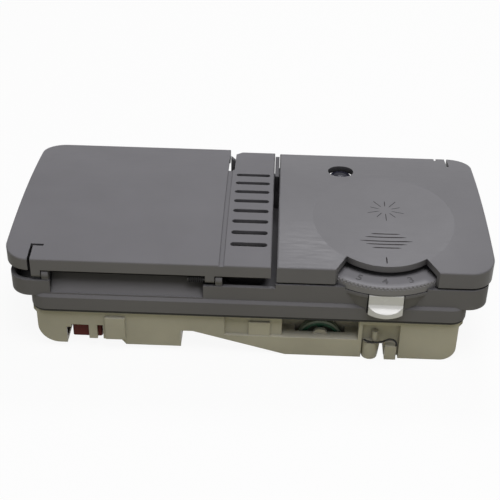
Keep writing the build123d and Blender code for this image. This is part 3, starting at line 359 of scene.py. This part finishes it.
def line_mark(bm, skin, start, end, width, steps=10, rise=0.03 * MM, blunt=0.25, taper=6, flank=0.2):
    """Fine line that lies on a skin, from a blunt tip to full width, a little crowned across."""
    run = Vector(end) - Vector(start)
    side = Vector((-run.y, run.x)).normalized() * width / 2
    rows = []
    for i in range(steps + 1):
        t = i / steps
        spread = min(1.0, taper * t + blunt, taper * (1 - t) + blunt)
        mid = Vector(start) + run * t
        row = []
        for k, lift in ((-1, flank), (0, 1.0), (1, flank)):
            x, y = mid + side * k * spread
            row.append(bm.verts.new((x, y, height_on(skin, x, y) + rise * lift)))
        rows.append(row)
    for a, b in zip(rows, rows[1:]):
        for k in (0, 1):
            bm.faces.new((a[k], a[k + 1], b[k + 1], b[k]))
    bmesh.ops.recalc_face_normals(bm, faces=bm.faces)


# the marks are drawn a little raised; their dark colour is painted shade of sunk moulded marks
cover_skin = skin_of("rinse_cover")
marks = bmesh.new()
for y, half in LEVELS:
    start, end = (LEVELS_X - half * MM, y * MM), (LEVELS_X + half * MM, y * MM)
    line_mark(marks, cover_skin, start, end, 1.9 * LINE, steps=24)
line_mark(marks, cover_skin, (INDEX_X, INDEX_FROM), (INDEX_X, INDEX_TO), 1.5 * LINE)
piece("pour_lines", marks, "groove_shade", "cover")

burst = bmesh.new()
for i in range(RAYS):
    turn = math.tau * (i + 0.5) / RAYS
    ray = Vector((math.cos(turn), math.sin(turn)))
    line_mark(burst, cover_skin, BURST + ray * RAY_FROM, BURST + ray * RAY_TO[i % 2], 0.9 * LINE)
piece("rinse_burst", burst, "groove_shade", "cover")

dial_low, dial_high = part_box("dose_dial")
dial_mid = (dial_low + dial_high) / 2
for digit in DIGITS:
    turn = math.radians(DIGIT_PITCH * (TOP_DIGIT - digit) + DIGIT_SKEW)
    word = bpy.data.curves.new(f"digit_{digit}", "FONT")
    word.body = str(digit)
    word.size = DIGIT_SIZE
    word.extrude = 0.12 * MM
    word.bevel_depth = 0.04 * MM
    word.align_x = "CENTER"
    word.align_y = "CENTER"
    text = bpy.data.objects.new(f"dial_digit_{digit}", word)
    scene.collection.objects.link(text)
    spin = Matrix.Rotation(turn, 4, "Z")
    seat = Vector((dial_mid.x, dial_mid.y, dial_high.z + 0.06 * MM))
    text.matrix_world = Matrix.Translation(seat) @ spin @ Matrix.Translation((0, -DIGIT_RADIUS, 0))
    word.materials.append(surfaces["digit"])
    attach(text, "dial")


# Copies of the coil springs, fixed to the base

def coil(node):
    """Copy of a coil spring, fixed to the base in place of the part."""
    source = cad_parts[node]
    made = bpy.data.objects.new(f"{node}_coil", source.data.copy())
    scene.collection.objects.link(made)
    made.matrix_world = source.matrix_world.copy()
    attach(made, "base")
    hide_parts(node)
    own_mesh(made)


coil("tab_spring")
coil("latch_spring")
coil("valve_spring")


# Floor, light and camera

FILL = 0.14                        # strength of the white world as light on the part
FLOOR_HALF = 3.0
FLOOR_GLOW = 0.92                  # share of plain white in the floor, as the lens sees it
FLOOR_BOUNCE = (0.56, 0.535, 0.36)
ELEVATION, YAW, ROLL = math.radians(34.0), math.radians(1.503), math.radians(1.107)
CAMERA_AT = (0.0124, -0.5055, 0.3686)


def seen_or_mirrored(tree):
    """1 for what the camera sees, straight on, in a mirror or through glass, and 0 for bounced light."""
    rays = tree.nodes.new("ShaderNodeLightPath")
    total = rays.outputs["Is Camera Ray"]
    for ray in ("Is Glossy Ray", "Is Transmission Ray"):
        either = tree.nodes.new("ShaderNodeMath")
        either.operation = "MAXIMUM"
        tree.links.new(total, either.inputs[0])
        tree.links.new(rays.outputs[ray], either.inputs[1])
        total = either.outputs["Value"]
    return total


def floor_material():
    """Floor that the lens and mirrors see as near white with a faint shadow. Its bounced light is warm."""
    s = Shader("floor_paper")
    seen = seen_or_mirrored(s.tree)
    tone = s.noise(3.0, 2.0)
    paper = s.mix(s.spread(tone), (0.95, 0.95, 0.95), (0.965, 0.965, 0.96))
    s.colour(s.mix(seen, FLOOR_BOUNCE, paper))
    s.set(Roughness=0.9, Specular_IOR_Level=0.1)
    glow = s.node("ShaderNodeEmission", Strength=1.0)
    blend = s.node("ShaderNodeMixShader")
    s.link(s.share(seen, FLOOR_GLOW), blend.inputs["Fac"])
    s.link(s.bsdf.outputs["BSDF"], blend.inputs[1])
    s.link(glow.outputs["Emission"], blend.inputs[2])
    s.link(blend.outputs["Shader"], s.tree.nodes["Material Output"].inputs["Surface"])
    return s.material


ground = bmesh.new()
bmesh.ops.create_grid(ground, x_segments=8, y_segments=8, size=FLOOR_HALF)
floor_mesh = bpy.data.meshes.new("floor")
ground.to_mesh(floor_mesh)
ground.free()
floor = bpy.data.objects.new("floor", floor_mesh)
scene.collection.objects.link(floor)
floor_mesh.materials.append(floor_material())

world = bpy.data.worlds.new("studio")
scene.world = world
world.use_nodes = True
tree = world.node_tree
sky = tree.nodes["Background"]
sky.inputs["Color"].default_value = (1, 1, 1, 1)
level = tree.nodes.new("ShaderNodeMapRange")
level.inputs["To Min"].default_value = FILL
level.inputs["To Max"].default_value = 1.0
tree.links.new(seen_or_mirrored(tree), level.inputs["Value"])
tree.links.new(level.outputs["Result"], sky.inputs["Strength"])


def softbox(name, place, aim, size, power, colour):
    lamp = bpy.data.lights.new(name, "AREA")
    lamp.shape = "DISK"
    lamp.size = size
    lamp.energy = power
    lamp.color = colour
    made = bpy.data.objects.new(name, lamp)
    scene.collection.objects.link(made)
    made.location = place
    made.rotation_euler = (Vector(aim) - Vector(place)).to_track_quat("-Z", "Y").to_euler()


softbox(
    "key", place=(0.08, -0.36, 1.12), aim=(0, 0, 0.05), size=0.8, power=7.4, colour=(1.0, 0.99, 1.0),
)
softbox(
    "sheen", place=(0.12, 0.80, 0.98), aim=(0.05, -0.03, 0.05), size=0.32, power=4.2,
    colour=(0.985, 0.985, 1.0),
)

camera_data = bpy.data.cameras.new("camera")
camera_data.sensor_width = 36.0
camera_data.lens = 78.44
camera_data.clip_start = 0.01
camera = bpy.data.objects.new("camera", camera_data)
scene.collection.objects.link(camera)
look = Matrix((
    (1, 0, 0),
    (0, math.sin(ELEVATION), -math.cos(ELEVATION)),
    (0, math.cos(ELEVATION), math.sin(ELEVATION)),
))
turned = Matrix.Rotation(YAW, 3, "Z") @ look @ Matrix.Rotation(ROLL, 3, "Z")
camera.matrix_world = Matrix.Translation(CAMERA_AT) @ turned.to_4x4()
scene.camera = camera

scene.view_settings.view_transform = "Standard"
